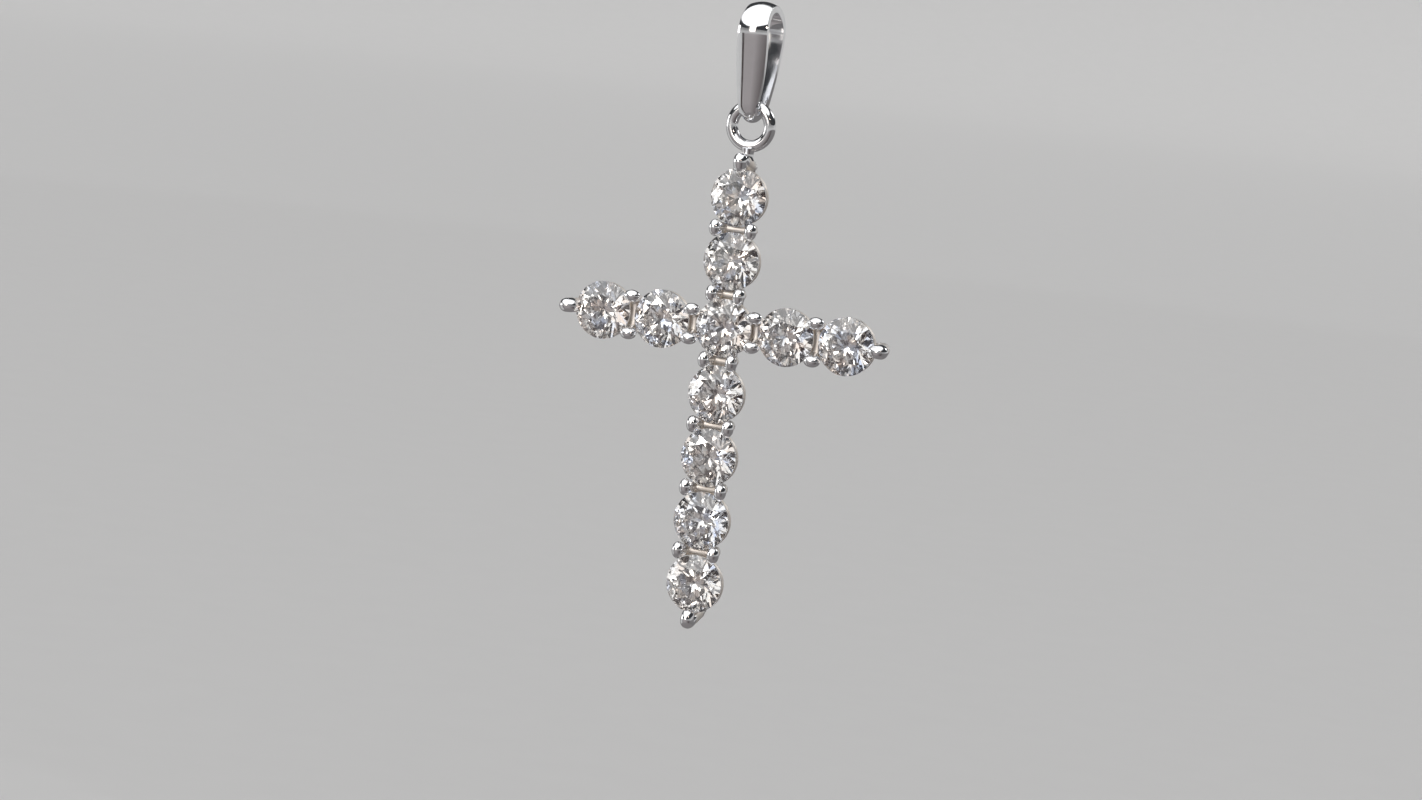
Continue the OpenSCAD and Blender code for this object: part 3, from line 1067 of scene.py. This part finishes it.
def mirrored_card(level, in_stones, name, directions, ends, shades):
    """A card on the floor that only shows in the stones or in the metal."""
    first, last = directions
    near, far = ends
    bm = bmesh.new()
    bmesh.ops.create_grid(bm, x_segments=CARD_STEPS, y_segments=1, size=0.5)
    for vert in bm.verts:
        turn = first + (last - first) * (vert.co.x + 0.5)
        vert.co = ray(turn, 0) * (near + (far - near) * (0.5 - vert.co.y))
    bmesh.ops.remove_doubles(bm, verts=bm.verts, dist=MERGE)
    bmesh.ops.translate(bm, vec=(0, 0, level + CARD_LIFT), verts=bm.verts)
    material, shader, place = material_of(name, Roughness=1.0)
    around = place.node(
        "ShaderNodeTexGradient", {"Vector": place}, "Fac", gradient_type="RADIAL"
    )
    direction = around * FULL_TURN + GRADIENT_START
    shade = ((direction - first) / (last - first)).mix(rgba(shades[0]), rgba(shades[1]))
    shade.to(shader.inputs["Base Color"])
    card = object_of(bm, name, [material], smooth=False)
    card.visible_camera = False
    card.visible_diffuse = False
    card.visible_shadow = False
    card.visible_glossy = not in_stones
    card.visible_transmission = in_stones


def area_light(name, place, aim, size, power, shade):
    """A soft square light that faces a point. It is left out of what lights the floor, which
    stays even, and shows in the metal and the stones."""
    light = bpy.data.lights.new(name, "AREA")
    light.shape = "SQUARE"
    light.size = size
    light.energy = power
    light.color = shade
    lamp = bpy.data.objects.new(name, light)
    lamp.location = place
    lamp.rotation_mode = "QUATERNION"
    lamp.rotation_quaternion = (place - aim).to_track_quat("Z", "Y")
    lamp.visible_camera = False
    lamp.visible_diffuse = False
    bpy.context.scene.collection.objects.link(lamp)


class PENDANT_OT_stage(bpy.types.Operator):
    """Lay the pale floor, hang the soft lights and set up the camera"""

    bl_idname = "pendant.stage"
    bl_label = "Stage"

    def execute(self, context):
        scene = context.scene
        stage = scene.pendant_stage
        self.camera(scene, stage)
        self.floor(stage)
        self.lights(scene, stage)
        return {"FINISHED"}

    def camera(self, scene, stage):
        """The camera, where the photograph was taken from."""
        data = bpy.data.cameras.new("camera")
        data.sensor_width = SENSOR_WIDTH
        data.lens = stage.focal / PHOTO_WIDTH * SENSOR_WIDTH
        data.clip_start, data.clip_end = CLIP
        camera = bpy.data.objects.new("camera", data)
        scene.collection.objects.link(camera)
        back = ray(math.degrees(stage.azimuth), math.degrees(stage.elevation))
        camera.rotation_mode = "QUATERNION"
        camera.rotation_quaternion = (
            back.to_track_quat("Z", "Y").to_matrix() @ Matrix.Rotation(stage.roll, 3, "Z")
        ).to_quaternion()
        camera.location = Vector(stage.aim) + back * stage.distance
        scene.camera = camera

    def floor(self, stage):
        """The round floor of pale paper, whose rim rises out of view."""
        bm = bmesh.new()
        level = -stage.floor_drop
        profile = [(r, level) for r in (*FLOOR_RINGS, stage.floor_r)]
        for i in range(1, RIM_STEPS + 1):
            a = stage.rim_rise * i / RIM_STEPS
            profile.append((
                stage.floor_r + stage.rim_r * math.sin(a),
                level + stage.rim_r * (1 - math.cos(a)),
            ))
        turned(bm, Matrix.Identity(4), profile, FLOOR_STEPS, closed=False)
        bmesh.ops.remove_doubles(bm, verts=bm.verts, dist=MERGE)
        bmesh.ops.recalc_face_normals(bm, faces=bm.faces)
        if sum(face.normal.z for face in bm.faces) < 0:
            bmesh.ops.reverse_faces(bm, faces=bm.faces)
        material, shader, place = material_of("floor_paper", Roughness=0.85)
        fibre = place.noise(scale=260, detail=4)
        tone = fibre.mix(rgba(stage.floor), rgba(stage.floor, stage.fibre))
        tone.to(shader.inputs["Base Color"])
        object_of(bm, "floor", [material], smooth=True)

    def lights(self, scene, stage):
        """The faint sky, the sun that lights the floor, the area lights and the cards."""
        world = bpy.data.worlds.new("studio")
        world.use_nodes = True
        background = world.node_tree.nodes["Background"]
        background.inputs["Color"].default_value = rgba(stage.sky)
        background.inputs["Strength"].default_value = stage.sky_strength
        scene.world = world
        sun = bpy.data.lights.new("soft_sun", "SUN")
        sun.energy = stage.sun
        sun.angle = stage.sun_spread
        lamp = bpy.data.objects.new("soft_sun", sun)
        lamp.rotation_euler = (stage.sun_front, -stage.sun_left, 0)
        scene.collection.objects.link(lamp)
        aim = Vector(stage.aim)
        for name, turn, rise, distance, *settings in LIGHTS:
            area_light(name, aim + ray(turn, rise) * distance, aim, *settings)
        for in_stones, cards in ((False, METAL_CARDS), (True, STONE_CARDS)):
            for card in cards:
                mirrored_card(-stage.floor_drop, in_stones, *card)
        scene.view_settings.view_transform = "Standard"
        scene.cycles.max_bounces = 16
        scene.cycles.glossy_bounces = 12
        scene.cycles.transmission_bounces = 16


OPERATORS = (
    PENDANT_OT_mix_metals,
    PENDANT_OT_cut_stones,
    PENDANT_OT_seat_rings,
    PENDANT_OT_base_rings,
    PENDANT_OT_shared_prongs,
    PENDANT_OT_tip_claws,
    PENDANT_OT_soldered_ring,
    PENDANT_OT_folded_bail,
    PENDANT_OT_stage,
)

GROUPS = {
    "pendant_stones": PendantStones,
    "pendant_setting": PendantSetting,
    "pendant_ring": PendantRing,
    "pendant_bail": PendantBail,
    "pendant_finish": PendantFinish,
    "pendant_stage": PendantStage,
}


class PENDANT_PT_maker(bpy.types.Panel):
    """Every step in making the pendant, and its sizes"""

    bl_idname = "PENDANT_PT_maker"
    bl_label = "Cross Pendant"
    bl_space_type = "VIEW_3D"
    bl_region_type = "UI"
    bl_category = "Pendant"

    def draw(self, context):
        for operator in OPERATORS:
            self.layout.operator(operator.bl_idname)
        for group in GROUPS:
            box = self.layout.box()
            sizes = getattr(context.scene, group)
            for name in GROUPS[group].__annotations__:
                box.prop(sizes, name)


def register():
    for kind in (*GROUPS.values(), *OPERATORS, PENDANT_PT_maker):
        bpy.utils.register_class(kind)
    for name, kind in GROUPS.items():
        setattr(bpy.types.Scene, name, bpy.props.PointerProperty(type=kind))


def unregister():
    for name in GROUPS:
        delattr(bpy.types.Scene, name)
    for kind in (PENDANT_PT_maker, *reversed(OPERATORS), *reversed(GROUPS.values())):
        bpy.utils.unregister_class(kind)


def main():
    """Makes the pendant and its stage."""
    register()
    bpy.ops.pendant.mix_metals()
    bpy.ops.pendant.cut_stones()
    bpy.ops.pendant.seat_rings()
    bpy.ops.pendant.base_rings()
    bpy.ops.pendant.shared_prongs()
    bpy.ops.pendant.tip_claws()
    bpy.ops.pendant.soldered_ring()
    bpy.ops.pendant.folded_bail()
    bpy.ops.pendant.stage()


if __name__ == "__main__":
    main()
